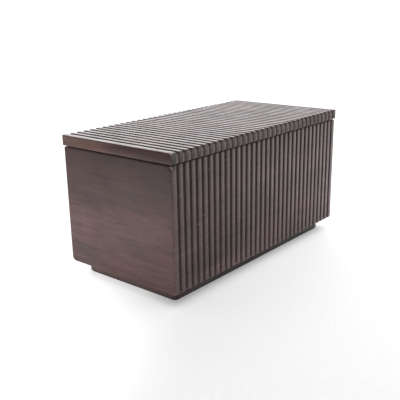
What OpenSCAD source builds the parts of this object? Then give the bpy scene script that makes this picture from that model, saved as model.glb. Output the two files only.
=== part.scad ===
// Wooden puzzle box with a ribbed front, back and lid.
// The lid slides lengthwise on hidden tracks. Two loose pins in the left end of the case lock it:
// tipping the box drops one pin or the other into the lid's keeper, and spinning it throws both clear.
// Origin: centre of the underside. +X runs to the right along the length, the ribbed front faces -Y, +Z is up.

/* [Case] */
// Length of the case
body_l = 240; // [220:5:280]
// Depth of the case, front to back
body_d = 120; // [110:2:140]
// Height of the four walls
wall_h = 101.2; // [90:0.2:120]
// Thickness of the four walls
wall_t = 9; // [8.5:0.5:10]

/* [Ribs] */
// Number of grooves across the front, the back and the lid
groove_count = 33; // [25:2:33]
// Distance from one groove to the next
groove_pitch = 7.1; // [6.5:0.05:7.1]
// Width of each groove
groove_w = 3; // [2.5:0.1:3.4]
// Depth of the grooves in the walls
wall_groove_depth = 2.5; // [1.5:0.1:2.6]
// Depth of the grooves in the lid's top
lid_groove_depth = 2; // [1:0.1:2]
// Depth of the grooves in the lid's front and back edges
edge_groove_depth = 0.8; // [0.5:0.1:2]

/* [Lid] */
// Thickness of the lid
lid_t = 9; // [8.5:0.5:12]
// How far the lid stands out past the walls
lid_overhang = 0.8; // [0.5:0.1:1.5]
// Shadow gap between the walls and the lid
reveal = 0.8; // [0.5:0.1:1.5]

/* [Plinth] */
// Height of the recessed plinth below the walls
plinth_h = 11; // [8:1:14]
// How far the plinth is set back from the end walls' outer faces
plinth_inset = 10; // [9.5:0.5:20]
// Width of each plinth rail
plinth_rail_w = 12; // [10:1:16]
// Radius of the plinth's upright corners
plinth_round = 4; // [3:0.5:8]
// Thickness of the felt under the plinth
base_felt_t = 1.2; // [1:0.1:1.5]
// Thickness of the panel that closes the plinth
base_panel_t = 3; // [3:1:4]

/* [Floor] */
// Thickness of the bottom board
floor_t = 6; // [4:1:8]
// Height of the bottom board's underside above the walls' lower edges
floor_lift = 6; // [5:1:8]
// How far the bottom board enters the wall grooves
floor_tongue = 3; // [2:0.5:3.5]
// Thickness of the felt lining
lining_t = 1.2; // [1:0.1:2]

/* [Guides] */
// Width of the guide rails along the front and back walls
rail_w = 10; // [10:0.5:14]
// Height of the guide rails
rail_h = 14; // [12:1:18]
// Length of each glide that holds the lid
glide_l = 16; // [12:1:20]
// Width of each glide's neck
glide_neck_w = 4; // [3:0.5:5]
// Width of each glide's head
glide_head_w = 7.6; // [7:0.2:7.6]
// Thickness of each glide's head
glide_head_t = 2.1; // [1.8:0.1:2.2]
// Outer height of the lid's tracks
track_h = 4.8; // [4.6:0.1:5]
// Wall thickness of the lid's tracks
track_wall = 0.8; // [0.6:0.1:0.8]
// Thickness of the track lips that the glides hook over
track_lip = 1; // [0.8:0.1:1]

/* [Lock] */
// Width of the closed lock space at the left end
lock_space = 19; // [18:1:24]
// Thickness of the partition in front of the lock space
partition_t = 4; // [3:1:6]
// Diameter of the two lock pins
pin_d = 6; // [5:0.5:6]
// Length of each lock pin
pin_l = 15; // [14:0.5:16]
// Radial clearance of the pins in their bore
pin_clearance = 0.08; // [0.05:0.01:0.1]
// Width of the keeper across the pins
keeper_w = 11; // [10:0.5:11]
// Length of the keeper along the box
keeper_l = 11; // [10:0.5:12]

/* [Hidden] */

$fn = 48;
eps = 0.01;
// Clearance round glued and screwed pieces
fit_gap = 0.05;

// Heights
wall_z = plinth_h;
wall_top = wall_z + wall_h;
floor_z = wall_z + floor_lift;
floor_top = floor_z + floor_t;
lid_z = wall_top + reveal;
lid_top = lid_z + lid_t;
rail_z = wall_top - rail_h;

// Half sizes of the case, outside and inside
half_l = body_l / 2;
half_d = body_d / 2;
in_l = half_l - wall_t;
in_d = half_d - wall_t;

// Plinth, whose front and back rails lie against the walls' inner faces
plinth_half_l = half_l - plinth_inset;
plinth_half_d = in_d;
felt_setback = 1;

// Guides: every guide piece is centred on the rail
guide_y = in_d - rail_w / 2;
glide_base_w = rail_w - 2;
track_clearance = 0.4;
track_mouth_w = glide_neck_w + 2 * track_clearance;
track_w = rail_w;
glide_lift = track_lip + 0.3;
// Glide and track ends along X: the lid closes with the far glide against one end of its track,
// and opens until the other end of the track meets the near glide
glide_stop_gap = 0.5;
far_glide_end = in_l - 1;
far_glide_x = far_glide_end - glide_l / 2;
near_glide_x = far_glide_x - 40;
track_start = -half_l + 8;
track_end = far_glide_end + glide_stop_gap;
wear_strip_end = near_glide_x - glide_l / 2 - 6;

// Lock
lock_x0 = -in_l;
lock_x1 = lock_x0 + lock_space;
lining_x0 = lock_x1 + partition_t;
lock_top = wall_top - 2;
lock_block_h = 18;
lock_block_z = lock_top - lock_block_h;
lock_block_half_w = 34;
pin_x = (lock_x0 + lock_x1) / 2;
pin_z = lock_block_z + lock_block_h / 2;
plug_l = 3;
pin_rest_gap = 0.5;
pin_outer_y = lock_block_half_w - plug_l - pin_rest_gap;
keeper_gap = 0.5;
keeper_drop = 1.5;
keeper_z = lock_block_z + 2 + keeper_drop;
keeper_hole_d = pin_d + 0.8;
keeper_flange_z = lock_top + 1;
keeper_flange_half_l = keeper_l / 2 + 1.5;
keeper_flange_half_w = 14;
// How far the keeper's flange is let into the lid
keeper_let_in = 0.6;
keeper_screw_y = 10;
left_lining_top = lock_block_z + 2;

// Corner splines, thin slips across the mitres
spline_w = 6;
spline_t = 2;
spline_z0 = floor_top + 3;
spline_z1 = wall_top - 3;
spline_in = 2.5;

// Screws: shank diameter, head diameter, head height
screw_d = 3.5;
screw_head_d = 7;
screw_head_h = 2.2;
small_screw_d = 3;
small_head_d = 5.6;
small_head_h = 1.6;

// A block between two corners
module block(lo, hi) {
    translate(lo) cube(hi - lo);
}

// Puts its child at each groove's left side
module at_grooves() {
    first = -(groove_count - 1) / 2 * groove_pitch - groove_w / 2;
    for (i = [0:groove_count - 1]) translate([first + i * groove_pitch, 0, 0]) children();
}

// Half of a mitred wall frame: the outer face is on the -Y side
module mitred_bar(outer_half, inner_half, outer_y, inner_y, z0, z1) {
    translate([0, 0, z0])
        linear_extrude(z1 - z0)
            polygon([
                [-outer_half, outer_y], [outer_half, outer_y],
                [inner_half, inner_y], [-inner_half, inner_y],
            ]);
}

// A countersunk screw that points to +Z, with its head's face at the origin
module screw(length, shank_d, head_d, head_h, grow = 0) {
    cylinder(h = head_h, d1 = head_d + 2 * grow, d2 = shank_d + 2 * grow);
    cylinder(h = length + grow, d = shank_d + 2 * grow);
}

// Corner splines
module spline_at(sx, sy, grow = 0) {
    translate([sx * (in_l + spline_in), sy * (in_d + spline_in), spline_z0 - grow])
        rotate(sx * sy * 45)
            translate([-spline_t / 2 - grow, -spline_w / 2 - grow, 0])
                cube([spline_t + 2 * grow, spline_w + 2 * grow, spline_z1 - spline_z0 + 2 * grow]);
}

module spline(sx, sy) {
    color("peru") spline_at(sx, sy);
}

module spline_slots() {
    for (sx = [-1, 1], sy = [-1, 1]) spline_at(sx, sy, fit_gap);
}

// Groove in the walls for the bottom board
module floor_groove() {
    reach = floor_tongue + 0.5;
    block([-in_l - reach, -in_d - reach, floor_z], [in_l + reach, in_d + reach, floor_top]);
}

// Walls
module ribbed_wall() {
    difference() {
        mitred_bar(half_l, in_l, -half_d, -in_d, wall_z, wall_top);
        at_grooves()
            translate([0, -half_d - 1, wall_z - 1]) cube([groove_w, wall_groove_depth + 1, wall_h + 2]);
        floor_groove();
        spline_slots();
    }
}

module front_panel() {
    color("#4a3a34") ribbed_wall();
}

module back_panel() {
    color("#4a3a34") rotate(180) ribbed_wall();
}

// The left wall; the right wall is the same board turned round
module end_wall() {
    difference() {
        rotate(-90) mitred_bar(half_d, in_d, -half_l, -in_l, wall_z, wall_top);
        floor_groove();
        spline_slots();
    }
}

module left_panel() {
    color("#5a4640")
        difference() {
            end_wall();
            lock_block_screw_set(fit_gap);
        }
}

module right_panel() {
    color("#5a4640") rotate(180) end_wall();
}

// Floor and plinth
module bottom_board() {
    color("burlywood")
        difference() {
            block(
                [-in_l - floor_tongue, -in_d - floor_tongue, floor_z],
                [in_l + floor_tongue, in_d + floor_tongue, floor_top]
            );
            plinth_screw_set(fit_gap);
        }
}

// What is cut away to round the four upright corners of a block with these half sizes
module corner_rounding(l, d, r, h) {
    for (x = [-1, 1], y = [-1, 1])
        scale([x, y, 1])
            translate([l - r, d - r, -1])
                difference() {
                    cube([r + 1, r + 1, h + 2]);
                    translate([0, 0, -1]) cylinder(h = h + 4, r = r);
                }
}

module plinth_long_rail() {
    difference() {
        mitred_bar(
            plinth_half_l, plinth_half_l - plinth_rail_w,
            -plinth_half_d, -plinth_half_d + plinth_rail_w, base_felt_t, floor_z
        );
        corner_rounding(plinth_half_l, plinth_half_d, plinth_round, floor_z);
        plinth_screw_set(fit_gap);
        plinth_counterbores();
    }
}

module plinth_short_rail() {
    difference() {
        rotate(-90)
            mitred_bar(
                plinth_half_d, plinth_half_d - plinth_rail_w,
                -plinth_half_l, -plinth_half_l + plinth_rail_w, base_felt_t, floor_z
            );
        corner_rounding(plinth_half_l, plinth_half_d, plinth_round, floor_z);
    }
}

module plinth_front() {
    color("#4a3a36") plinth_long_rail();
}

module plinth_back() {
    color("#4a3a36") rotate(180) plinth_long_rail();
}

module plinth_left() {
    color("#4a3a36") plinth_short_rail();
}

module plinth_right() {
    color("#4a3a36") rotate(180) plinth_short_rail();
}

module base_panel() {
    l = plinth_half_l - plinth_rail_w;
    d = plinth_half_d - plinth_rail_w;
    color("sienna") block([-l, -d, base_felt_t], [l, d, base_felt_t + base_panel_t]);
}

module base_felt() {
    l = plinth_half_l - felt_setback;
    d = plinth_half_d - felt_setback;
    color("#202020")
        difference() {
            block([-l, -d, 0], [l, d, base_felt_t]);
            corner_rounding(l, d, plinth_round - felt_setback, base_felt_t);
        }
}

plinth_screw_z = base_felt_t + 4;
plinth_screw_y = plinth_half_d - plinth_rail_w / 2;
plinth_screw_x = plinth_half_l - 25;

module at_plinth_screws() {
    for (x = [-plinth_screw_x, 0, plinth_screw_x], y = [-plinth_screw_y, plinth_screw_y])
        translate([x, y, 0]) children();
}

module plinth_screw_set(grow = 0) {
    at_plinth_screws()
        translate([0, 0, plinth_screw_z])
            screw(floor_z + floor_t - 2 - plinth_screw_z, screw_d, screw_head_d, screw_head_h, grow);
}

module plinth_counterbores() {
    at_plinth_screws() cylinder(h = plinth_screw_z + eps, d = screw_head_d + 2 * fit_gap);
}

module plinth_screws() {
    color("silver") plinth_screw_set();
}

// Guide rails, wear strips and glides, drawn for the front and turned or mirrored for the back
module guide_rail() {
    difference() {
        block([-in_l, -in_d, rail_z], [in_l, -in_d + rail_w, wall_top]);
        glide_screw_set(fit_gap);
    }
}

module front_guide_rail() {
    color("#7a5a48") guide_rail();
}

module back_guide_rail() {
    color("#7a5a48") mirror([0, 1, 0]) guide_rail();
}

module wear_strip() {
    block(
        [-in_l + 2, -guide_y - glide_base_w / 2, wall_top],
        [wear_strip_end, -guide_y + glide_base_w / 2, lid_z]
    );
}

module front_wear_strip() {
    color("#303030") wear_strip();
}

module back_wear_strip() {
    color("#303030") mirror([0, 1, 0]) wear_strip();
}

module glide_pair() {
    difference() {
        for (x = [near_glide_x, far_glide_x])
            translate([x - glide_l / 2, -guide_y, wall_top]) {
                translate([0, -glide_base_w / 2, 0]) cube([glide_l, glide_base_w, reveal]);
                translate([0, -glide_neck_w / 2, 0]) cube([glide_l, glide_neck_w, reveal + glide_lift + eps]);
                translate([0, -glide_head_w / 2, reveal + glide_lift])
                    cube([glide_l, glide_head_w, glide_head_t]);
            }
        glide_screw_set(fit_gap);
    }
}

module front_glides() {
    color("goldenrod") glide_pair();
}

module back_glides() {
    color("goldenrod") mirror([0, 1, 0]) glide_pair();
}

module glide_screw_set(grow = 0) {
    for (x = [near_glide_x, far_glide_x])
        translate([x, -guide_y, rail_z])
            screw(rail_h + reveal + glide_lift + 1, small_screw_d, small_head_d, small_head_h, grow);
}

module glide_screws() {
    color("silver") {
        glide_screw_set();
        mirror([0, 1, 0]) glide_screw_set();
    }
}

// Lock
module partition() {
    notch = keeper_w / 2 + 2 * keeper_gap;
    color("#7a5a48")
        difference() {
            block([lock_x1, -in_d, floor_top], [lining_x0, in_d, lock_top]);
            for (sy = [-1, 1])
                translate([lock_x1 - 1, sy * in_d - rail_w, rail_z])
                    cube([partition_t + 2, 2 * rail_w, rail_h]);
            block([lock_x1 - 1, -notch, left_lining_top], [lining_x0 + 1, notch, lock_top + 1]);
        }
}

module pin_bore(d, half) {
    translate([pin_x, -half, pin_z]) rotate([-90, 0, 0]) cylinder(h = 2 * half, d = d);
}

module lock_block() {
    slot = keeper_w / 2 + keeper_gap;
    color("#8a6a50")
        difference() {
            block(
                [lock_x0, -lock_block_half_w, lock_block_z],
                [lock_x1, lock_block_half_w, lock_top]
            );
            block([lock_x0 + 2.5, -slot, lock_block_z + 2], [lock_x1 + 1, slot, lock_top + 1]);
            pin_bore(pin_d + 2 * pin_clearance, lock_block_half_w + 1);
            lock_block_screw_set(fit_gap);
        }
}

module lock_block_screw_set(grow = 0) {
    for (y = [-26, 26])
        translate([lock_x1, y, lock_block_z + 3.2])
            rotate([0, -90, 0])
                screw(lock_space + 4.5, small_screw_d, small_head_d, small_head_h, grow);
}

module lock_block_screws() {
    color("silver") lock_block_screw_set();
}

module bore_plugs() {
    color("peru")
        for (y = [-lock_block_half_w, lock_block_half_w - plug_l])
            translate([pin_x, y, pin_z])
                rotate([-90, 0, 0]) cylinder(h = plug_l, d = pin_d + 2 * pin_clearance - 2 * fit_gap);
}

// A lock pin in its released place, drawn for the front: the tips have a small bevel
module lock_pin() {
    bevel = 0.8;
    translate([pin_x, -pin_outer_y, pin_z])
        rotate([-90, 0, 0]) {
            cylinder(h = bevel, d1 = pin_d - 2 * bevel, d2 = pin_d);
            translate([0, 0, bevel]) cylinder(h = pin_l - 2 * bevel, d = pin_d);
            translate([0, 0, pin_l - bevel]) cylinder(h = bevel, d1 = pin_d, d2 = pin_d - 2 * bevel);
        }
}

module front_lock_pin() {
    color("gold") lock_pin();
}

module back_lock_pin() {
    color("gold") mirror([0, 1, 0]) lock_pin();
}

// Felt lining
module floor_lining() {
    color("#5b1f24") block([lining_x0, -in_d, floor_top], [in_l, in_d, floor_top + lining_t]);
}

module side_lining() {
    block([lining_x0, -in_d, floor_top + lining_t], [in_l, -in_d + lining_t, rail_z]);
}

module front_lining() {
    color("#5b1f24") side_lining();
}

module back_lining() {
    color("#5b1f24") mirror([0, 1, 0]) side_lining();
}

module end_lining(x, top) {
    half = in_d - lining_t;
    block([x, -half, floor_top + lining_t], [x + lining_t, half, top]);
}

module left_lining() {
    color("#5b1f24") end_lining(lining_x0, left_lining_top);
}

module right_lining() {
    color("#5b1f24") end_lining(in_l - lining_t, rail_z);
}

// Lid: each groove runs over the top and down the front and back edges
module lid_groove_cutter(d) {
    rotate([90, 0, 90])
        linear_extrude(groove_w)
            difference() {
                translate([-d - 1, lid_z - 1]) square([2 * d + 2, lid_t + 2]);
                translate([-d + edge_groove_depth, lid_z - 2])
                    square([2 * (d - edge_groove_depth), lid_t + 2 - lid_groove_depth]);
            }
}

module lid_panel() {
    l = half_l + lid_overhang;
    d = half_d + lid_overhang;
    color("#4a3a34")
        difference() {
            block([-l, -d, lid_z], [l, d, lid_top]);
            at_grooves() lid_groove_cutter(d);
            for (sy = [-1, 1])
                translate([track_start, sy * guide_y - track_w / 2, lid_z - 1])
                    cube([track_end - track_start, track_w, track_h + 1]);
            keeper_flange(1);
            keeper_screw_set(fit_gap);
        }
}

module track_profile() {
    difference() {
        translate([-track_w / 2, 0]) square([track_w, track_h]);
        translate([-track_w / 2 + track_wall, track_lip])
            square([track_w - 2 * track_wall, track_h - track_lip - track_wall]);
        translate([-track_mouth_w / 2, -1]) square([track_mouth_w, track_lip + 1 + eps]);
    }
}

module track() {
    translate([track_start, -guide_y, lid_z])
        rotate([90, 0, 90])
            linear_extrude(track_end - track_start) track_profile();
}

module front_track() {
    color("goldenrod") track();
}

module back_track() {
    color("goldenrod") mirror([0, 1, 0]) track();
}

// The keeper's flange; deepen extends it downwards to cut its recess
module keeper_flange(deepen = 0) {
    block(
        [pin_x - keeper_flange_half_l, -keeper_flange_half_w, keeper_flange_z - deepen],
        [pin_x + keeper_flange_half_l, keeper_flange_half_w, lid_z + keeper_let_in]
    );
}

module keeper() {
    color("goldenrod")
        difference() {
            union() {
                block(
                    [pin_x - keeper_l / 2, -keeper_w / 2, keeper_z],
                    [pin_x + keeper_l / 2, keeper_w / 2, keeper_flange_z + eps]
                );
                keeper_flange();
            }
            pin_bore(keeper_hole_d, keeper_w);
            keeper_screw_set(fit_gap);
        }
}

module keeper_screw_set(grow = 0) {
    for (y = [-keeper_screw_y, keeper_screw_y])
        translate([pin_x, y, keeper_flange_z])
            screw(lid_z + 5 - keeper_flange_z, small_screw_d, small_head_d, small_head_h, grow);
}

module keeper_screws() {
    color("silver") keeper_screw_set();
}

front_panel();
back_panel();
left_panel();
right_panel();
spline(-1, -1);  // spline_front_left
spline(1, -1);  // spline_front_right
spline(-1, 1);  // spline_back_left
spline(1, 1);  // spline_back_right
bottom_board();
plinth_front();
plinth_back();
plinth_left();
plinth_right();
base_panel();
base_felt();
plinth_screws();
front_guide_rail();
back_guide_rail();
front_wear_strip();
back_wear_strip();
front_glides();
back_glides();
glide_screws();
partition();
lock_block();
lock_block_screws();
bore_plugs();
front_lock_pin();
back_lock_pin();
floor_lining();
front_lining();
back_lining();
left_lining();
right_lining();
lid_panel();
front_track();
back_track();
keeper();
keeper_screws();
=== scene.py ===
"""Looks for the wooden puzzle box: ribbed boards with eased, worn edges, stained wood, felt and brass."""

import math
import random

import bmesh
import bpy
from mathutils import Matrix, Vector, noise


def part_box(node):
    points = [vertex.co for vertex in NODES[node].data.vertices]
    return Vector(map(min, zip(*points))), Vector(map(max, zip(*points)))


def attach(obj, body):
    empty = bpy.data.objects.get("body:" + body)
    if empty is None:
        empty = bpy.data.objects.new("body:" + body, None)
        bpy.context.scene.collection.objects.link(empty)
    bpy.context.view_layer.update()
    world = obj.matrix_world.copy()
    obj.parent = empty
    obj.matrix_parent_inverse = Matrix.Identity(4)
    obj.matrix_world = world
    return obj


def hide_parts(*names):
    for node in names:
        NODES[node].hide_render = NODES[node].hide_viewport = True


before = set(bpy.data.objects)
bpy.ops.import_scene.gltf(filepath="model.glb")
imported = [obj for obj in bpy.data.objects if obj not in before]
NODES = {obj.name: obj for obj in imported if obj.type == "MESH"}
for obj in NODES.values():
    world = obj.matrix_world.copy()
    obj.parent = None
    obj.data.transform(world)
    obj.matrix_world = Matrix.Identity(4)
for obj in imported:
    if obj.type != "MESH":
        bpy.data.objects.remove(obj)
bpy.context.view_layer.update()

MM = 0.001

# ---------------------------------------------------------------------------------------------------
# Sizes, in metres, that the boards share with the CAD part
# ---------------------------------------------------------------------------------------------------
GROOVES = 33
PITCH = 7.1 * MM
GROOVE_W = 3.0 * MM
WALL_DEPTH = 2.5 * MM
LID_DEPTH = 2.0 * MM
EDGE_DEPTH = 0.8 * MM
TRACK_H = 4.8 * MM
KEEPER_LET_IN = 0.6 * MM

# Corners of the walls that are worn round: (side along X, side along Y, at the top, reach, depth)
WORN_CORNERS = [
    (-1, -1, True, 5.0 * MM, 2.2 * MM), (-1, -1, False, 2.4 * MM, 0.6 * MM),
    (-1, 1, False, 3.4 * MM, 1.2 * MM), (-1, 1, True, 2.2 * MM, 0.5 * MM),
    (1, -1, True, 2.0 * MM, 0.5 * MM), (1, -1, False, 2.4 * MM, 0.7 * MM),
    (1, 1, True, 2.4 * MM, 0.6 * MM), (1, 1, False, 2.2 * MM, 0.5 * MM),
]

# Chips on the near upright corner, as (height, size), and on the lid's near corner
CORNER_CHIPS = [(84.7 * MM, 1.0 * MM), (31.0 * MM, 0.7 * MM), (57.0 * MM, 0.6 * MM)]
CORNER_CHIP_DEPTH = 0.3 * MM
LID_CHIP = 2.6 * MM
LID_CHIP_DEPTH = 0.35 * MM

# Easing of the wood's edges. The wall of a groove leans by the draft, and the lid's underside is clear of
# the wear strips by LID_CLEAR
LIP_ANGLES = [math.radians(a) for a in (0, 35, 65, 90)]
RIB_ROUND = 0.32 * MM
LID_RIB_ROUND = 0.6 * MM
FLOOR_ROUND = 0.35 * MM
WALL_DRAFT = 0.06 * MM
BOARD_ROUND = 0.6 * MM
LID_ROUND = 0.7 * MM
LID_CLEAR = 0.04 * MM

# Unevenness of the ribs: its height, and its cells per metre across and along them
RIB_WAVE = 0.03 * MM
WAVE_ACROSS, WAVE_ALONG = 900, 260

# How rubbed the ribs' lips and the boards' outer edges are, from 0 to 1
LIP_RUB = 0.55
EDGE_RUB = 0.6
LID_END_RUB = 0.7

# Rows of points along a wall, up the lid's edge and across its top
WALL_ROWS = 84
LID_EDGE_ROWS = 7
LID_TOP_ROWS = 96

FELT_STEP = 3 * MM
FELT_CORNER = 3 * MM
FELT_ROLL = 0.5 * MM
FELT_RIPPLE = 0.06 * MM

front_lo, front_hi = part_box("front_panel")
lid_lo, lid_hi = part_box("lid_panel")
plinth_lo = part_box("plinth_front")[0]
HALF_L = front_hi.x
HALF_D = -front_lo.y
WALL_Z0, WALL_Z1 = front_lo.z, front_hi.z
WALL_T = front_hi.y - front_lo.y
FIRST_GROOVE = -(GROOVES - 1) / 2 * PITCH


# ---------------------------------------------------------------------------------------------------
# Mesh helpers
# ---------------------------------------------------------------------------------------------------
def new_object(name, bm, **values):
    """Turns a bmesh into a linked object, with named lists of values, one for each vertex."""
    bmesh.ops.recalc_face_normals(bm, faces=bm.faces)
    mesh = bpy.data.meshes.new(name)
    bm.to_mesh(mesh)
    bm.free()
    for key, numbers in values.items():
        attribute = mesh.attributes.new(key, "FLOAT", "POINT")
        attribute.data.foreach_set("value", numbers)
    obj = bpy.data.objects.new(name, mesh)
    bpy.context.scene.collection.objects.link(obj)
    return obj


def smooth_by_angle(obj, degrees=38):
    """Smooth shading with the edges sharper than the angle kept sharp."""
    mesh = obj.data
    mesh.polygons.foreach_set("use_smooth", [True] * len(mesh.polygons))
    bm = bmesh.new()
    bm.from_mesh(mesh)
    limit = math.radians(degrees)
    for edge in bm.edges:
        edge.smooth = edge.calc_face_angle(0.0) < limit
    bm.to_mesh(mesh)
    bm.free()


# ---------------------------------------------------------------------------------------------------
# The ribbed profile: columns across the board, each with its place and its depth below the ribs
# ---------------------------------------------------------------------------------------------------
def groove_columns(centre, depth, lip):
    """Columns of one groove, from left to right: rounded lip, drafted wall, rounded floor."""
    half = GROOVE_W / 2
    foot = -half + WALL_DRAFT
    side = [(-half - lip * (1 - math.sin(a)), lip * (1 - math.cos(a))) for a in LIP_ANGLES]
    side.append((foot, depth - FLOOR_ROUND))
    side.append((foot + 0.3 * FLOOR_ROUND, depth - 0.3 * FLOOR_ROUND))
    side.append((foot + FLOOR_ROUND, depth))
    return [(centre + x, d) for x, d in side] + [(centre - x, d) for x, d in reversed(side)]


def ribbed_columns(depth, lip, end):
    """Columns of a whole board between two lists of end columns, with one more on each rib's flat top."""
    columns = list(end)
    for i in range(GROOVES):
        centre = FIRST_GROOVE + i * PITCH
        columns.append((centre - PITCH / 2, 0.0))
        columns += groove_columns(centre, depth, lip)
    columns.append((PITCH / 2 - FIRST_GROOVE, 0.0))
    columns += [(-x, d) for x, d in reversed(end)]
    return columns


def plain_columns(end, count):
    """Columns of a smooth board."""
    inner = -end[-1][0]
    flat = [(-inner + 2 * inner * i / count, 0.0) for i in range(1, count)]
    return list(end) + flat + [(-x, d) for x, d in reversed(end)]


def corner_end(half):
    """The half of a rounded mitred corner that belongs to this board."""
    angles = [math.radians(a) for a in (45, 67.5, 90)]
    return [(-half + BOARD_ROUND * (1 - math.cos(a)), BOARD_ROUND * (1 - math.sin(a))) for a in angles]


def nick_list(rng, edges, lo, hi, count, size, depth):
    """Small dents along given edges: (place across, place along, half width, half length, depth)."""
    nicks = []
    for _ in range(count):
        across = rng.choice(edges) + rng.uniform(-0.2, 0.2) * MM
        nicks.append((
            across, rng.uniform(lo, hi), size * rng.uniform(0.35, 1.0),
            size * rng.uniform(0.6, 1.6), depth * rng.uniform(0.4, 1.0),
        ))
    return nicks


def nick_at(nicks, u, v):
    """Depth of the dents and how bare they leave the wood, from 0 to 1, at a place on the board."""
    dent, mask = 0.0, 0.0
    for cu, cv, ru, rv, depth in nicks:
        a, b = (u - cu) / ru, (v - cv) / rv
        r2 = a * a + b * b
        if r2 < 1:
            k = (1 - r2) ** 2
            dent = max(dent, depth * k)
            mask = max(mask, min(1.0, 1.6 * k))
    return dent, mask


def wear_corner(p):
    """Moves a point near a worn corner inwards. Returns the point and how worn it is."""
    for sx, sy, top, reach, cut in WORN_CORNERS:
        corner = Vector((sx * HALF_L, sy * HALF_D, WALL_Z1 if top else WALL_Z0))
        k = 1 - (p - corner).length / reach
        if k > 0:
            return p + Vector((-sx, -sy, -1 if top else 1)) * cut * k * k * 0.6, k
    return p, 0.0


def edge_wear(depth, lip):
    """How exposed a column is: highest on the lip of a rib, none on flats and in the groove."""
    return max(0.0, 1.0 - abs(depth - 0.15 * lip) / (1.2 * lip)) if depth > 0 else 0.0


# ---------------------------------------------------------------------------------------------------
# Wall boards
# ---------------------------------------------------------------------------------------------------
def wall_rows():
    """Heights of a wall's rows of points, each with how far the rounded edge draws it in."""
    quarter = [(1.0, 0.0), (0.293, 0.293), (0.0, 1.0)]
    flat0, flat1 = WALL_Z0 + BOARD_ROUND, WALL_Z1 - BOARD_ROUND
    rows = [(WALL_Z0 + BOARD_ROUND * b, BOARD_ROUND * a) for a, b in quarter]
    rows += [(flat0 + (flat1 - flat0) * k / WALL_ROWS, 0.0) for k in range(1, WALL_ROWS)]
    rows += [(WALL_Z1 - BOARD_ROUND * b, BOARD_ROUND * a) for a, b in reversed(quarter)]
    return rows


def wall_board(name, half, columns, depth, nicks, place, seed):
    """A closed mitred board standing on edge. place(u, d, z) puts a point of the board into the frame.

    u runs along the board, and d is the depth behind its outer face."""
    rows = wall_rows()
    n = len(columns)
    bm = bmesh.new()
    wear, deep = [], []
    front = []
    for z, inset in rows:
        row = []
        for i, (u, d) in enumerate(columns):
            at_end = inset if i < 3 else (-inset if i >= n - 3 else 0.0)
            dent, mask = nick_at(nicks, u, z)
            wave = noise.noise(Vector((u * WAVE_ACROSS, z * WAVE_ALONG, seed))) * RIB_WAVE
            lip = edge_wear(d, RIB_ROUND) if depth else 0.0
            behind = d + inset + dent + (wave if lip > 0 else 0.0)
            point, worn = wear_corner(place(u + at_end, behind, z))
            row.append(bm.verts.new(point))
            border = EDGE_RUB if 0 < inset < BOARD_ROUND or i in (0, n - 1) else 0.0
            wear.append(max(mask, lip * LIP_RUB, border, min(1.0, worn * 1.3)))
            deep.append(d / depth if depth and 0 < i < n - 1 else 0.0)
        front.append(row)
    back = []
    for z in (WALL_Z0, WALL_Z1):
        back.append([bm.verts.new(place(u * (half - WALL_T) / half, WALL_T, z)) for u, _ in columns])
        wear += [0.0] * n
        deep += [0.0] * n
    for k in range(len(rows) - 1):
        for i in range(n - 1):
            bm.faces.new((front[k][i], front[k][i + 1], front[k + 1][i + 1], front[k + 1][i]))
    for i in range(n - 1):
        bm.faces.new((front[0][i], front[0][i + 1], back[0][i + 1], back[0][i]))
        bm.faces.new((front[-1][i], front[-1][i + 1], back[1][i + 1], back[1][i]))
        bm.faces.new((back[0][i], back[0][i + 1], back[1][i + 1], back[1][i]))
    for i in (0, n - 1):
        bm.faces.new([row[i] for row in front] + [back[1][i], back[0][i]])
    board = new_object(name, bm, wear=wear, deep=deep)
    smooth_by_angle(board)
    return board


def rib_edges():
    """Where the ribs' edges are, along the board."""
    return [FIRST_GROOVE + i * PITCH + side * GROOVE_W / 2 for i in range(GROOVES) for side in (-1, 1)]


def ribbed_wall(name, turn, seed):
    """A long wall with its grooves; turn is 1 for the front and -1 for the back."""
    rng = random.Random(seed)
    nicks = nick_list(rng, rib_edges(), WALL_Z0, WALL_Z1, count=30, size=0.8 * MM, depth=0.3 * MM)
    nicks += nick_list(
        rng, rib_edges(), WALL_Z0, WALL_Z0 + 0.5 * MM, count=10, size=1.0 * MM, depth=0.35 * MM
    )
    if turn > 0:
        nicks += [(-HALF_L, z, size, size, CORNER_CHIP_DEPTH) for z, size in CORNER_CHIPS]
    columns = ribbed_columns(WALL_DEPTH, RIB_ROUND, corner_end(HALF_L))
    return wall_board(
        name, HALF_L, columns, WALL_DEPTH, nicks,
        lambda u, d, z: Vector((turn * u, turn * (-HALF_D + d), z)), seed,
    )


def smooth_wall(name, turn, seed):
    """An end wall; turn is 1 for the left and -1 for the right."""
    rng = random.Random(seed)
    nicks = nick_list(rng, [-HALF_D, HALF_D], WALL_Z0, WALL_Z1, count=14, size=1.0 * MM, depth=0.4 * MM)
    along_foot = [-HALF_D + i * 4 * MM for i in range(60)]
    nicks += nick_list(rng, along_foot, WALL_Z0, WALL_Z0, count=6, size=1.0 * MM, depth=0.4 * MM)
    if turn > 0:
        nicks += [(HALF_D, z, size, size, CORNER_CHIP_DEPTH) for z, size in CORNER_CHIPS]
    columns = plain_columns(corner_end(HALF_D), count=90)
    return wall_board(
        name, HALF_D, columns, 0.0, nicks,
        lambda u, d, z: Vector((turn * (-HALF_L + d), turn * -u, z)), seed,
    )


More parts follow.
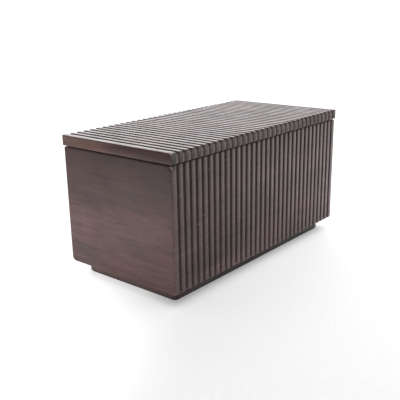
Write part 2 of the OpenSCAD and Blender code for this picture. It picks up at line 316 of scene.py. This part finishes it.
# ---------------------------------------------------------------------------------------------------
# Lid board
# ---------------------------------------------------------------------------------------------------
def lid_path(half_d, z0, z1):
    """Points up the front edge, over the top and down the back edge, as (y, z)."""
    r = LID_ROUND
    arc = [math.pi / 2 * k / 3 for k in range(4)]
    side = [(-half_d + r * (1 - math.sin(a)), z0 + r * (1 - math.cos(a))) for a in arc]
    side += [(-half_d, z0 + r + (z1 - z0 - 2 * r) * k / LID_EDGE_ROWS) for k in range(1, LID_EDGE_ROWS)]
    side += [(-half_d + r * (1 - math.cos(a)), z1 - r * (1 - math.sin(a))) for a in arc]
    inner = half_d - r
    top = [(-inner + 2 * inner * k / LID_TOP_ROWS, z1) for k in range(1, LID_TOP_ROWS)]
    return side + top + [(-y, z) for y, z in reversed(side)]


def lid_columns(extra):
    """Columns of the lid: (x, share of the groove's depth, inset at the ends), with more at the extra x."""
    half = lid_hi.x
    end = [
        (-half + LID_ROUND * (1 - math.cos(a)), LID_ROUND * (1 - math.sin(a)))
        for a in (0.0, math.pi / 4, math.pi / 2)
    ]
    ribs = ribbed_columns(LID_DEPTH, LID_RIB_ROUND, [])
    columns = [(x, 0.0, e) for x, e in end]
    columns += [(x, d / LID_DEPTH, 0.0) for x, d in ribs]
    columns += [(-x, 0.0, e) for x, e in reversed(end)]
    for x in extra:
        i = next(k for k, column in enumerate(columns) if column[0] > x)
        a, b = columns[i - 1], columns[i]
        share = (x - a[0]) / (b[0] - a[0])
        columns.insert(i, (x, a[1] + (b[1] - a[1]) * share, 0.0))
    return columns


def lid_board(name):
    """The lid: one board with grooves over its top and edges, and pockets for the tracks and the keeper."""
    rng = random.Random(5)
    half, half_d, z0, z1 = lid_hi.x, lid_hi.y, lid_lo.z, lid_hi.z
    track_lo, track_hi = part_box("front_track")
    keeper_lo, keeper_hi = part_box("keeper")
    columns = lid_columns((track_lo.x, track_hi.x, keeper_lo.x, keeper_hi.x))
    nicks = nick_list(rng, rib_edges(), -half_d, half_d, count=26, size=0.8 * MM, depth=0.4 * MM)
    chipped = Vector((-half, -half_d, z1))
    lines = [track_lo.y, track_hi.y, keeper_lo.y, keeper_hi.y, -track_hi.y, -track_lo.y]
    bm = bmesh.new()
    wear, deep = [], []

    def vert(point, worn=0.0, low=0.0):
        wear.append(worn)
        deep.append(low)
        return bm.verts.new(point)

    over, under = [], []
    for x, share, inset in columns:
        outer = lid_path(half_d - inset, z0 + inset, z1 - inset)
        inner = lid_path(half_d - EDGE_DEPTH - inset, z0 + inset, z1 - LID_DEPTH - inset)
        edge_points = (len(outer) - LID_TOP_ROWS + 1) // 2
        lip = edge_wear(share * LID_DEPTH, LID_RIB_ROUND)
        row = []
        for k, ((yo, zo), (yi, zi)) in enumerate(zip(outer, inner)):
            y, z = yo + (yi - yo) * share, zo + (zi - zo) * share
            nearest = min(k, len(outer) - 1 - k)
            dent, mask = nick_at(nicks, x, y) if nearest >= edge_points - 2 else (0.0, 0.0)
            edge = EDGE_RUB if edge_points // 2 <= nearest < edge_points else 0.0
            rim = LID_END_RUB if 0 < inset < LID_ROUND else 0.0
            worn = max(mask, lip * LIP_RUB, edge * (1 - share), rim)
            point = Vector((x, y, z - dent))
            chip = max(0.0, 1 - (point - chipped).length / LID_CHIP)
            point += Vector((1, 1, -1)) * LID_CHIP_DEPTH * chip
            row.append(vert(point, max(worn, min(1.0, 1.8 * chip)), share))
        over.append(row)
        under.append([row[0]] + [vert((x, y, z0 + max(inset, LID_CLEAR))) for y in lines] + [row[-1]])

    def column_at(place):
        return min(range(len(columns)), key=lambda i: abs(columns[i][0] - place))

    # Pockets in the underside: (first column, last column, which strip between the lines, height)
    track = (column_at(track_lo.x), column_at(track_hi.x))
    pockets = [
        (*track, 1, TRACK_H),
        (column_at(keeper_lo.x), column_at(keeper_hi.x), 3, KEEPER_LET_IN),
        (*track, 5, TRACK_H),
    ]

    def in_pocket(i, j):
        return any(a <= i < b and j == strip for a, b, strip, _ in pockets)

    for i in range(len(columns) - 1):
        for k in range(len(over[i]) - 1):
            bm.faces.new((over[i][k], over[i][k + 1], over[i + 1][k + 1], over[i + 1][k]))
        for j in range(len(under[i]) - 1):
            if not in_pocket(i, j):
                bm.faces.new((under[i][j], under[i + 1][j], under[i + 1][j + 1], under[i][j + 1]))
    for i in (0, len(columns) - 1):
        bm.faces.new(over[i] + list(reversed(under[i][1:-1])))
    for a, b, j, height in pockets:
        raised = []
        for i in range(a, b + 1):
            raised.append([vert(v.co + Vector((0, 0, height))) for v in (under[i][j], under[i][j + 1])])
        for i in range(a, b):
            r0, r1 = raised[i - a], raised[i - a + 1]
            bm.faces.new((r0[0], r1[0], r1[1], r0[1]))
            bm.faces.new((under[i][j], under[i + 1][j], r1[0], r0[0]))
            bm.faces.new((under[i][j + 1], under[i + 1][j + 1], r1[1], r0[1]))
        for i, r in ((a, raised[0]), (b, raised[-1])):
            bm.faces.new((under[i][j], under[i][j + 1], r[1], r[0]))
    board = new_object(name, bm, wear=wear, deep=deep)
    smooth_by_angle(board)
    board.data.materials.append(MATERIALS["lid"])
    board.data.materials.append(MATERIALS["lid_end"])
    for face in board.data.polygons:
        at_end = abs(face.normal.x) > 0.7 and abs(face.center.x) > half - LID_ROUND
        face.material_index = 1 if at_end else 0
    return board


# ---------------------------------------------------------------------------------------------------
# Felt
# ---------------------------------------------------------------------------------------------------
def round_corner(p, lo, hi, radius):
    """Moves a point of an upright box's corner onto the rounded corner."""
    x = min(max(p.x, lo.x + radius), hi.x - radius)
    y = min(max(p.y, lo.y + radius), hi.y - radius)
    centre = Vector((x, y, p.z))
    out = p - centre
    if abs(out.x) > 0 and abs(out.y) > 0:
        return centre + out * (max(abs(out.x), abs(out.y)) / out.length)
    return p


def felt_sheet(name, node, seed, radius=0.0):
    """A felt sheet in its node's box, with a flat back, rolled edges and a slightly uneven face."""
    lo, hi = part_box(node)
    size = hi - lo
    thin = min(range(3), key=lambda a: size[a])
    a, b = [k for k in range(3) if k != thin]
    na, nb = max(4, round(size[a] / FELT_STEP)), max(4, round(size[b] / FELT_STEP))
    back_is_low = thin == 2 or lo[thin] + hi[thin] <= 0
    roll = min(0.45 * size[thin], FELT_ROLL)
    bm = bmesh.new()
    faces = []
    for side in (0, 1):
        grid = []
        for i in range(na + 1):
            line = []
            for j in range(nb + 1):
                p = Vector((0, 0, 0))
                border = i in (0, na) or j in (0, nb)
                p[a] = lo[a] + size[a] * i / na
                p[b] = lo[b] + size[b] * j / nb
                level = 0.0
                if side == 1:
                    ripple = FELT_RIPPLE * (1 + noise.noise(p * 160 + Vector((seed, 0, 0))))
                    level = size[thin] - (roll if border else ripple)
                p[thin] = lo[thin] + level if back_is_low else hi[thin] - level
                p = round_corner(p, lo, hi, radius) if radius else p
                line.append(bm.verts.new(p))
            grid.append(line)
        faces.append(grid)
        for i in range(na):
            for j in range(nb):
                bm.faces.new((grid[i][j], grid[i + 1][j], grid[i + 1][j + 1], grid[i][j + 1]))
    back, face = faces
    for i in range(na):
        for j in (0, nb):
            bm.faces.new((back[i][j], back[i + 1][j], face[i + 1][j], face[i][j]))
    for j in range(nb):
        for i in (0, na):
            bm.faces.new((back[i][j], back[i][j + 1], face[i][j + 1], face[i][j]))
    sheet = new_object(name, bm)
    smooth_by_angle(sheet, 60)
    return sheet


# ---------------------------------------------------------------------------------------------------
# Materials
# ---------------------------------------------------------------------------------------------------
class Shader:
    """A small helper that adds nodes to one material and links them by socket name."""

    def __init__(self, name):
        self.material = bpy.data.materials.new(name)
        self.material.use_nodes = True
        self.tree = self.material.node_tree
        self.tree.nodes.clear()
        output = self.tree.nodes.new("ShaderNodeOutputMaterial")
        self.bsdf = self.tree.nodes.new("ShaderNodeBsdfPrincipled")
        self.tree.links.new(self.bsdf.outputs[0], output.inputs[0])

    def put(self, socket, value):
        """Links the socket to an output, or sets its value."""
        if isinstance(value, bpy.types.NodeSocket):
            self.tree.links.new(value, socket)
        else:
            socket.default_value = value

    def add(self, kind, settings=None, **inputs):
        """A node with some settings, and its inputs by name, with _ for a space."""
        node = self.tree.nodes.new("ShaderNode" + kind)
        for key, value in (settings or {}).items():
            setattr(node, key, value)
        for key, value in inputs.items():
            self.put(node.inputs[key.replace("_", " ")], value)
        return node

    def set(self, **inputs):
        """Sets the Principled shader's own inputs by name."""
        for key, value in inputs.items():
            self.put(self.bsdf.inputs[key.replace("_", " ")], value)

    def calc(self, operation, a, b=0.0, clamp=False):
        """A Math node's result."""
        node = self.tree.nodes.new("ShaderNodeMath")
        node.operation = operation
        node.use_clamp = clamp
        self.put(node.inputs[0], a)
        self.put(node.inputs[1], b)
        return node.outputs[0]

    def object_coords(self, scale, offset=(0, 0, 0)):
        coords = self.tree.nodes.new("ShaderNodeTexCoord").outputs["Object"]
        return self.add("Mapping", Vector=coords, Scale=scale, Location=offset).outputs[0]

    def noise(self, scale, offset=(0, 0, 0), detail=4.0, rough=0.5, distortion=0.0):
        """Noise with its cells per metre along X, Y and Z."""
        vector = self.object_coords(scale, offset)
        node = self.add(
            "TexNoise", Vector=vector, Scale=1.0, Detail=detail, Roughness=rough, Distortion=distortion
        )
        return node.outputs["Fac"]

    def ramp(self, fac, stops):
        """A colour ramp with stops of (place, colour)."""
        node = self.add("ValToRGB", Fac=fac)
        ramp = node.color_ramp
        while len(ramp.elements) > len(stops):
            ramp.elements.remove(ramp.elements[-1])
        while len(ramp.elements) < len(stops):
            ramp.elements.new(1.0)
        for element, (place, colour) in zip(ramp.elements, stops):
            element.position = place
            element.color = (*colour, 1.0)
        return node.outputs["Color"]

    def level(self, fac, low, high, to_low=0.0, to_high=1.0, curve="LINEAR"):
        """Maps low to high onto to_low to to_high, and clamps."""
        node = self.add(
            "MapRange", {"clamp": True, "interpolation_type": curve}, Value=fac,
            From_Min=low, From_Max=high, To_Min=to_low, To_Max=to_high,
        )
        return node.outputs[0]

    def mix(self, fac, a, b):
        node = self.tree.nodes.new("ShaderNodeMix")
        node.data_type = "RGBA"
        self.put(node.inputs[0], fac)
        self.put(node.inputs[6], (*a, 1.0) if isinstance(a, tuple) else a)
        self.put(node.inputs[7], (*b, 1.0) if isinstance(b, tuple) else b)
        return node.outputs[2]

    def pool(self, vector, centre, radius):
        """1 at the centre, falling smoothly to 0 at the radius."""
        offset = self.add("VectorMath", {"operation": "DISTANCE"}, Vector=vector)
        offset.inputs[1].default_value = centre
        return self.level(offset.outputs["Value"], 0.0, radius, 1.0, 0.0, curve="SMOOTHSTEP")

    def bump(self, height, strength, distance, normal=None):
        """A bump of this height in metres, over another bump if one is given."""
        node = self.add("Bump", Height=height, Strength=strength, Distance=distance)
        if normal is not None:
            self.put(node.inputs["Normal"], normal)
        return node.outputs[0]


def along(axis, length, across):
    """Scale of a pattern stretched along one axis: cells per metre along it and across it."""
    return tuple(length if axis == k else across for k in range(3))


def even(cells):
    """Scale of a pattern with the same number of cells per metre on every axis."""
    return (cells, cells, cells)


def scaled(share, values):
    """A colour or an offset times a number."""
    return tuple(share * x for x in values)


def stained_wood(name, axis, dark, mid, red, seed, rough=0.4, coat=0.15,
                 calm=0.0, top_shade=0.0, ior=1.46, groove_grey=0.0, edge=0.0):
    """Dark stained wood under thin satin lacquer.

    axis is the grain's direction, 0 to 2. calm evens out the broad patches. The top-shade share paints
    shade that darkens the top of the walls, the groove share makes the grooves' floors greyer and paler,
    and the edge share paints shade on the lid's front and back edges."""
    s = Shader(name)
    shift = scaled(seed, (0.37, 0.61, 0.83))
    broad = s.noise(along(axis, 11, 42), shift, 3.0, 0.55, 0.5)
    streak = s.noise(along(axis, 20, 310), shift, 6.0, 0.65, 0.8)
    fibre = s.noise(along(axis, 70, 2400), shift, 3.0, 0.6)
    pores = s.level(s.noise(along(axis, 130, 3400), shift, 2.0, 0.5), 0.62, 0.72)

    # The stain: broad and narrow streaks from dark to mid, with redder patches
    tone = s.calc("ADD", s.calc("MULTIPLY", broad, 0.5), s.calc("MULTIPLY", streak, 0.5))
    tone = s.level(tone, 0.0, 1.0, 0.5 * calm, 1.0 - 0.5 * calm)
    between = tuple((x + y) / 2 for x, y in zip(dark, mid))
    colour = s.ramp(tone, [(0.42, dark), (0.5, between), (0.58, mid)])
    patch = s.level(s.noise(along(axis, 14, 50), scaled(-1, shift), 3.0), 0.48, 0.64)
    colour = s.mix(s.calc("MULTIPLY", patch, 0.7 * (1 - calm)), colour, red)
    # Painted shade: the stain darkens towards the top of the walls, above the height set for it
    if top_shade:
        height = s.add("SeparateXYZ", Vector=s.object_coords(even(1))).outputs[2]
        colour = s.mix(s.level(height, TOP_SHADE_FROM, WALL_Z1, 0.0, top_shade), colour, scaled(0.6, dark))
    # Painted shade: the lid's overhanging front and back edges are darkened
    if edge:
        across = s.add("SeparateXYZ", Vector=s.object_coords(even(1))).outputs[1]
        rim = s.level(s.calc("ABSOLUTE", across), HALF_D, lid_hi.y, 0.0, edge)
        colour = s.mix(rim, colour, scaled(0.5, dark))
    colour = s.mix(s.level(fibre, 0.35, 0.7, 0.0, 0.35), colour, dark)
    colour = s.mix(s.calc("MULTIPLY", pores, 0.55), colour, scaled(0.35, dark))

    # Greyer, paler groove floors, paler lips, and places that are rubbed or chipped bare
    deep = s.add("Attribute", {"attribute_name": "deep"}).outputs["Fac"]
    colour = s.mix(s.calc("MULTIPLY", deep, groove_grey), colour, GROOVE_GREY)
    wear = s.add("Attribute", {"attribute_name": "wear"}).outputs["Fac"]
    lip = s.level(wear, 0.15, 0.5)
    colour = s.mix(s.calc("MULTIPLY", lip, 0.16), colour, tuple(0.5 * x + 0.08 for x in mid))
    grit = s.noise(even(900), shift, 3.0, 0.6)
    chips = s.level(s.noise(even(330), shift, 2.0, 0.6), 0.70, 0.75)
    rubbed = s.level(s.calc("MULTIPLY", wear, grit), 0.35, 0.48)
    bare = s.calc("MAXIMUM", rubbed, s.calc("MULTIPLY", lip, chips))
    colour = s.mix(s.calc("MULTIPLY", bare, 0.8), colour, BARE_WOOD)

    # The lacquer: hazy gloss, duller where it is rubbed off, over grain and slow unevenness
    haze = s.noise(even(55), shift, 4.0, 0.6)
    roughness = s.level(haze, 0.3, 0.7, rough - 0.06, rough + 0.08)
    roughness = s.calc("ADD", roughness, s.calc("MULTIPLY", bare, 0.2), clamp=True)
    if edge:
        roughness = s.calc("ADD", roughness, s.calc("MULTIPLY", rim, 0.35), clamp=True)
    grain = s.calc("SUBTRACT", s.calc("MULTIPLY", fibre, 0.5), s.calc("MULTIPLY", pores, 0.9))
    normal = s.bump(grain, 0.35, 0.12 * MM)
    normal = s.bump(s.noise(even(140), shift, 2.0), 0.12, 0.6 * MM, normal)
    s.set(Base_Color=colour, Roughness=roughness, Normal=normal)
    s.set(IOR=ior, Coat_Weight=coat, Coat_Roughness=0.3)
    return s.material


def felt(name, base, light, seed, sheen=0.35):
    """Wool felt: fine fuzz between two colours, with darker clumps."""
    s = Shader(name)
    fuzz = s.noise(even(2600), (seed, 0, 0), 4.0, 0.7)
    clump = s.noise(even(240), (0, seed, 0), 4.0, 0.6)
    colour = s.mix(s.level(fuzz, 0.3, 0.75), base, light)
    colour = s.mix(s.level(clump, 0.4, 0.7, 0.0, 0.3), colour, scaled(0.6, base))
    normal = s.bump(fuzz, 0.6, 0.3 * MM, s.bump(clump, 0.3, 0.6 * MM))
    s.set(Base_Color=colour, Roughness=0.95, Normal=normal, Sheen_Weight=sheen, Sheen_Roughness=0.5)
    return s.material


def brushed_metal(name, colour, axis, rough, seed):
    """Metal with fine brush lines along one axis and a patchy tarnish."""
    s = Shader(name)
    lines = s.noise(along(axis, 60, 5200), (seed, seed, 0), 3.0, 0.6)
    tarnish = s.noise(even(180), (0, seed, 0), 4.0, 0.6)
    shade = s.mix(s.level(tarnish, 0.45, 0.75, 0.0, 0.5), colour, scaled(0.55, colour))
    roughness = s.level(lines, 0.3, 0.7, rough - 0.08, rough + 0.1)
    s.set(Base_Color=shade, Metallic=1.0, Roughness=roughness, Normal=s.bump(lines, 0.2, 0.05 * MM))
    return s.material


def fibre_strip(name):
    """Dark grey vulcanised fibre, matt and finely speckled."""
    s = Shader(name)
    grain = s.noise(even(1500), detail=4.0, rough=0.65)
    colour = s.mix(s.level(grain, 0.35, 0.7), (0.012, 0.012, 0.013), (0.035, 0.034, 0.034))
    s.set(Base_Color=colour, Roughness=0.7, Normal=s.bump(grain, 0.3, 0.1 * MM))
    return s.material


# Stains, dark to mid, and the redder patches
DARK = (0.032, 0.0095, 0.0080)
MID = (0.138, 0.060, 0.055)
RED = (0.150, 0.058, 0.044)
RIB_STAIN = ((0.036, 0.020, 0.020), (0.124, 0.070, 0.072), MID)
LID_END_STAIN = ((0.036, 0.010, 0.008), (0.066, 0.022, 0.018), (0.120, 0.042, 0.022))
# The plinth's long rails: a darker copy of the stain, with painted shade where they stand back under the
# walls
PLINTH_STAIN_AND_SHADE = ((0.014, 0.0085, 0.0095), (0.044, 0.025, 0.028), DARK)
INNER_WOOD = ((0.16, 0.08, 0.045), (0.32, 0.18, 0.1), (0.34, 0.16, 0.08))
GROOVE_GREY = (0.125, 0.108, 0.104)
BARE_WOOD = (0.36, 0.30, 0.27)

# Height above which painted shade begins to darken the walls' stain
TOP_SHADE_FROM = 50 * MM

RIBBED = {"coat": 0.08, "calm": 0.45, "top_shade": 0.5, "ior": 1.42, "groove_grey": 0.95}
UNLACQUERED = {"rough": 0.5, "coat": 0.0}
MATERIALS = {
    "front": stained_wood("stained_front", 0, *RIB_STAIN, 1.0, **RIBBED),
    "back": stained_wood("stained_back", 0, *RIB_STAIN, 4.0, **RIBBED),
    "left": stained_wood("stained_left", 1, DARK, MID, RED, 2.0, coat=0.05, calm=0.4, top_shade=0.75, ior=1.38),
    "right": stained_wood("stained_right", 1, DARK, MID, RED, 7.0, coat=0.05, calm=0.4, top_shade=0.5, ior=1.4),
    "lid": stained_wood(
        "stained_lid", 0, *RIB_STAIN, 3.0, rough=0.36, coat=0.12, calm=0.3, groove_grey=0.2, edge=0.85
    ),
    "lid_end": stained_wood("stained_lid_end", 1, *LID_END_STAIN, 3.0, coat=0.0, ior=1.38),
    "plinth_x": stained_wood("plinth_long_painted_shade", 0, *PLINTH_STAIN_AND_SHADE, 5.0, coat=0.0, ior=1.36),
    "plinth_y": stained_wood("plinth_short", 1, DARK, MID, MID, 6.0, calm=0.4),
    "rail": stained_wood("rail_wood", 0, *INNER_WOOD, 8.0, **UNLACQUERED),
    "cross": stained_wood("cross_wood", 1, *INNER_WOOD, 9.0, **UNLACQUERED),
    "upright": stained_wood("spline_wood", 2, *INNER_WOOD, 11.0, **UNLACQUERED),
    "lining": felt("lining_felt", (0.085, 0.012, 0.014), (0.17, 0.03, 0.032), 1.0),
    "base": felt("base_felt", (0.008, 0.008, 0.008), (0.028, 0.027, 0.027), 2.0, sheen=0.05),
    "brass": brushed_metal("brass", (0.62, 0.42, 0.17), axis=0, rough=0.3, seed=1.0),
    "steel": brushed_metal("screw_steel", (0.55, 0.55, 0.56), axis=2, rough=0.35, seed=2.0),
    "strip": fibre_strip("fibre_strip"),
}


def dress(obj, key):
    """Gives an object its material, unless it brings its own."""
    if obj.name in NODES or not obj.data.materials:
        obj.data.materials.clear()
        obj.data.materials.append(MATERIALS[key])


# ---------------------------------------------------------------------------------------------------
# The pieces
# ---------------------------------------------------------------------------------------------------
def stand_in(piece, node, body, key):
    """A detailed piece that takes a CAD node's place."""
    dress(piece, key)
    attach(piece, body)
    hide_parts(node)


stand_in(ribbed_wall("front_board", 1, 11), "front_panel", "case", "front")
stand_in(ribbed_wall("back_board", -1, 12), "back_panel", "case", "back")
stand_in(smooth_wall("left_board", 1, 13), "left_panel", "case", "left")
stand_in(smooth_wall("right_board", -1, 14), "right_panel", "case", "right")
stand_in(lid_board("lid_board"), "lid_panel", "lid", "lid")

# Felt sheets: node, how it is held, and what it lies on
FELT_SHEETS = [
    ("floor_lining", "laid", "bottom_board"),
    ("front_lining", "stretched", "front_panel"),
    ("back_lining", "stretched", "back_panel"),
    ("left_lining", "stretched", "partition"),
    ("right_lining", "stretched", "right_panel"),
    ("base_felt", "stretched", "base_panel"),
]
for number, (node, held, backing) in enumerate(FELT_SHEETS):
    under_box = node == "base_felt"
    sheet = felt_sheet(node + "_sheet", node, number, FELT_CORNER if under_box else 0.0)
    stand_in(
        sheet, node, "case", "base" if under_box else "lining",
    )

# CAD nodes that stay, with eased edges and their own materials
KEPT = {
    "plinth_x": ("plinth_front", "plinth_back"),
    "plinth_y": ("plinth_left", "plinth_right"),
    "rail": ("front_guide_rail", "back_guide_rail", "bottom_board", "base_panel"),
    "cross": ("partition", "lock_block", "bore_plugs"),
    "upright": ("spline_front_left", "spline_front_right", "spline_back_left", "spline_back_right"),
    "brass": ("front_glides", "back_glides", "front_track", "back_track", "keeper",
              "front_lock_pin", "back_lock_pin"),
    "steel": ("plinth_screws", "glide_screws", "lock_block_screws", "keeper_screws"),
    "strip": ("front_wear_strip", "back_wear_strip"),
}
EASED = {"plinth_x": 0.5 * MM, "plinth_y": 0.5 * MM, "rail": 0.4 * MM, "cross": 0.4 * MM}
EASED_ELSE = 0.12 * MM
WELD_WITHIN = 0.005 * MM
for key, names in KEPT.items():
    for name in names:
        obj = NODES[name]
        dress(obj, key)
        weld = obj.modifiers.new("weld", "WELD")
        weld.merge_threshold = WELD_WITHIN
        bevel = obj.modifiers.new("ease", "BEVEL")
        bevel.width = EASED.get(key, EASED_ELSE)
        bevel.segments = 2
        bevel.limit_method = "ANGLE"
        bevel.angle_limit = math.radians(40)


# ---------------------------------------------------------------------------------------------------
# Camera, light and floor
# ---------------------------------------------------------------------------------------------------
WORLD_LIGHT = 0.8
LIGHT_AIM = Vector((0, 0, 60 * MM))

# The table's flat radius, the top of the wall round it, and the number of its sides
TABLE_FLAT = 3.2
WALL_TOP = 3.0
TABLE_SIDES = 48

# The floor's painted glow in front and behind, and painted pools of light as (centre, radius, strength)
FLOOR_GLOW = (0.31, 0.56)
FLOOR_POOLS = [((-0.30, 0.10, 0), 0.26, 1.7), ((0.37, -0.25, 0), 0.36, 1.7)]

# How far the contact shadow reaches, and the share of the glow that it takes in front and behind
CONTACT_REACH = 18 * MM
CONTACT_FRONT, CONTACT_BACK = 0.5, 0.1


def add_camera():
    """The camera that sees the box from where the photo was taken. Azimuth 0 looks along +Y."""
    azimuth, elevation, roll = (math.radians(a) for a in (51.17, 15.63, -0.67))
    pan, tilt = math.radians(1.056), math.radians(-1.277)
    distance = 0.594
    target = Vector((0, 0, lid_hi.z / 2))
    level = Vector((-math.sin(azimuth), -math.cos(azimuth), 0))
    back = level * math.cos(elevation) + Vector((0, 0, math.sin(elevation)))
    look = -back
    right = look.cross(Vector((0, 0, 1))).normalized()
    up = right.cross(look)
    right, up = (
        math.cos(roll) * right + math.sin(roll) * up,
        -math.sin(roll) * right + math.cos(roll) * up,
    )
    turn = Matrix.Rotation(pan, 3, up)
    look, right = turn @ look, turn @ right
    turn = Matrix.Rotation(tilt, 3, right)
    look, up = turn @ look, turn @ up
    data = bpy.data.cameras.new("camera")
    data.lens, data.sensor_width = 57.35, 36
    data.clip_start = 0.01
    camera = bpy.data.objects.new("camera", data)
    matrix = Matrix((right, up, -look)).transposed().to_4x4()
    matrix.translation = target + back * distance
    camera.matrix_world = matrix
    bpy.context.scene.collection.objects.link(camera)
    bpy.context.scene.camera = camera


def add_softbox(name, azimuth, elevation, distance, width, height, radiance):
    """An area light that faces the box. Azimuth 0 is in front, along -Y, and 90 to the right."""
    a, e = math.radians(azimuth), math.radians(elevation)
    to = Vector((math.sin(a) * math.cos(e), -math.cos(a) * math.cos(e), math.sin(e)))
    data = bpy.data.lights.new(name, "AREA")
    data.shape = "RECTANGLE"
    data.size, data.size_y = width, height
    data.energy = radiance * math.pi * width * height
    light = bpy.data.objects.new(name, data)
    light.location = LIGHT_AIM + to * distance
    light.rotation_mode = "QUATERNION"
    light.rotation_quaternion = to.to_track_quat("Z", "Y")
    bpy.context.scene.collection.objects.link(light)


def floor_mesh():
    """A flat table that curves up into a wall all round, far from the box."""
    arc = [math.pi / 2 * k / 8 for k in range(1, 9)]
    profile = [(radius, 0.0) for radius in (0.4, 1.0, 2.0, TABLE_FLAT)]
    profile += [(TABLE_FLAT + math.sin(a), 1 - math.cos(a)) for a in arc]
    profile.append((TABLE_FLAT + 1, WALL_TOP))
    angles = [2 * math.pi * k / TABLE_SIDES for k in range(TABLE_SIDES)]
    bm = bmesh.new()
    rings = [[bm.verts.new((r * math.cos(a), r * math.sin(a), z)) for a in angles] for r, z in profile]
    bm.faces.new(rings[0])
    for low, high in zip(rings, rings[1:]):
        for k in range(TABLE_SIDES):
            n = (k + 1) % TABLE_SIDES
            bm.faces.new((low[k], low[n], high[n], high[k]))
    floor = new_object("table", bm)
    if floor.data.polygons[0].normal.z < 0:
        floor.data.flip_normals()
    floor.data.polygons.foreach_set("use_smooth", [True] * len(floor.data.polygons))
    return floor


def contact_shade(s, place, y):
    """How much of the floor's glow the box takes away: most along the plinth's front, none further off."""
    beyond = s.add("VectorMath", {"operation": "ABSOLUTE"}, Vector=place).outputs[0]
    beyond = s.add("VectorMath", {"operation": "SUBTRACT"}, Vector=beyond)
    beyond.inputs[1].default_value = (-plinth_lo.x, -plinth_lo.y, 0)
    beyond = s.add("VectorMath", {"operation": "MAXIMUM"}, Vector=beyond.outputs[0])
    beyond.inputs[1].default_value = (0, 0, 0)
    reach = s.add("VectorMath", {"operation": "LENGTH"}, Vector=beyond.outputs[0]).outputs["Value"]
    near = s.calc("POWER", s.level(reach, 0.0, CONTACT_REACH, 1.0, 0.0), 1.5)
    return s.calc("MULTIPLY", near, s.level(y, -52 * MM, -20 * MM, CONTACT_FRONT, CONTACT_BACK))


def add_floor():
    """The pale floor. It glows a little, because the photo's floor is nearly burnt out."""
    floor = floor_mesh()
    s = Shader("pale_table")
    speck = s.noise(even(300), detail=2.0)
    place = s.object_coords(even(1))
    x, y, _ = s.add("SeparateXYZ", Vector=place).outputs
    away = s.calc("ADD", s.calc("MULTIPLY", x, 0.78), s.calc("MULTIPLY", y, 0.62))
    # Painted light: the floor glows, more behind the box than in front, with painted pools of light, and
    # the glow weakens along the plinth as a painted contact shadow
    glow = s.level(away, -0.35, 0.0, *FLOOR_GLOW)
    for centre, radius, strength in FLOOR_POOLS:
        glow = s.calc("ADD", glow, s.calc("MULTIPLY", s.pool(place, centre, radius), strength))
    glow = s.calc("MULTIPLY", glow, s.calc("SUBTRACT", 1.0, contact_shade(s, place, y)))
    # Painted shade: the floor and its glow darken towards -X, far from the box
    shade = s.level(x, -2.4, -0.7, 0.35, 1.0)
    tone = s.mix(s.level(speck, 0.3, 0.7), (0.48, 0.48, 0.485), (0.51, 0.51, 0.51))
    s.set(Base_Color=s.mix(shade, (0.15, 0.15, 0.15), tone), Roughness=0.85)
    s.set(Emission_Color=(1.0, 1.0, 1.0, 1.0), Emission_Strength=s.calc("MULTIPLY", glow, shade))
    floor.data.materials.append(s.material)


def add_world():
    """Even white light from all round."""
    world = bpy.data.worlds.new("studio")
    world.use_nodes = True
    background = world.node_tree.nodes["Background"]
    background.inputs["Color"].default_value = (1.0, 1.0, 1.0, 1.0)
    background.inputs["Strength"].default_value = WORLD_LIGHT
    bpy.context.scene.world = world


add_camera()
add_world()
add_floor()
add_softbox("back_softbox", 135, 34, 2.4, 2.4, 2.2, 2.4)
add_softbox("top_softbox", 0, 72, 2.2, 1.8, 1.4, 1.0)
add_softbox("front_right_softbox", 55, 20, 2.2, 1.8, 1.0, 1.3)
bpy.context.scene.view_settings.view_transform = "Standard"
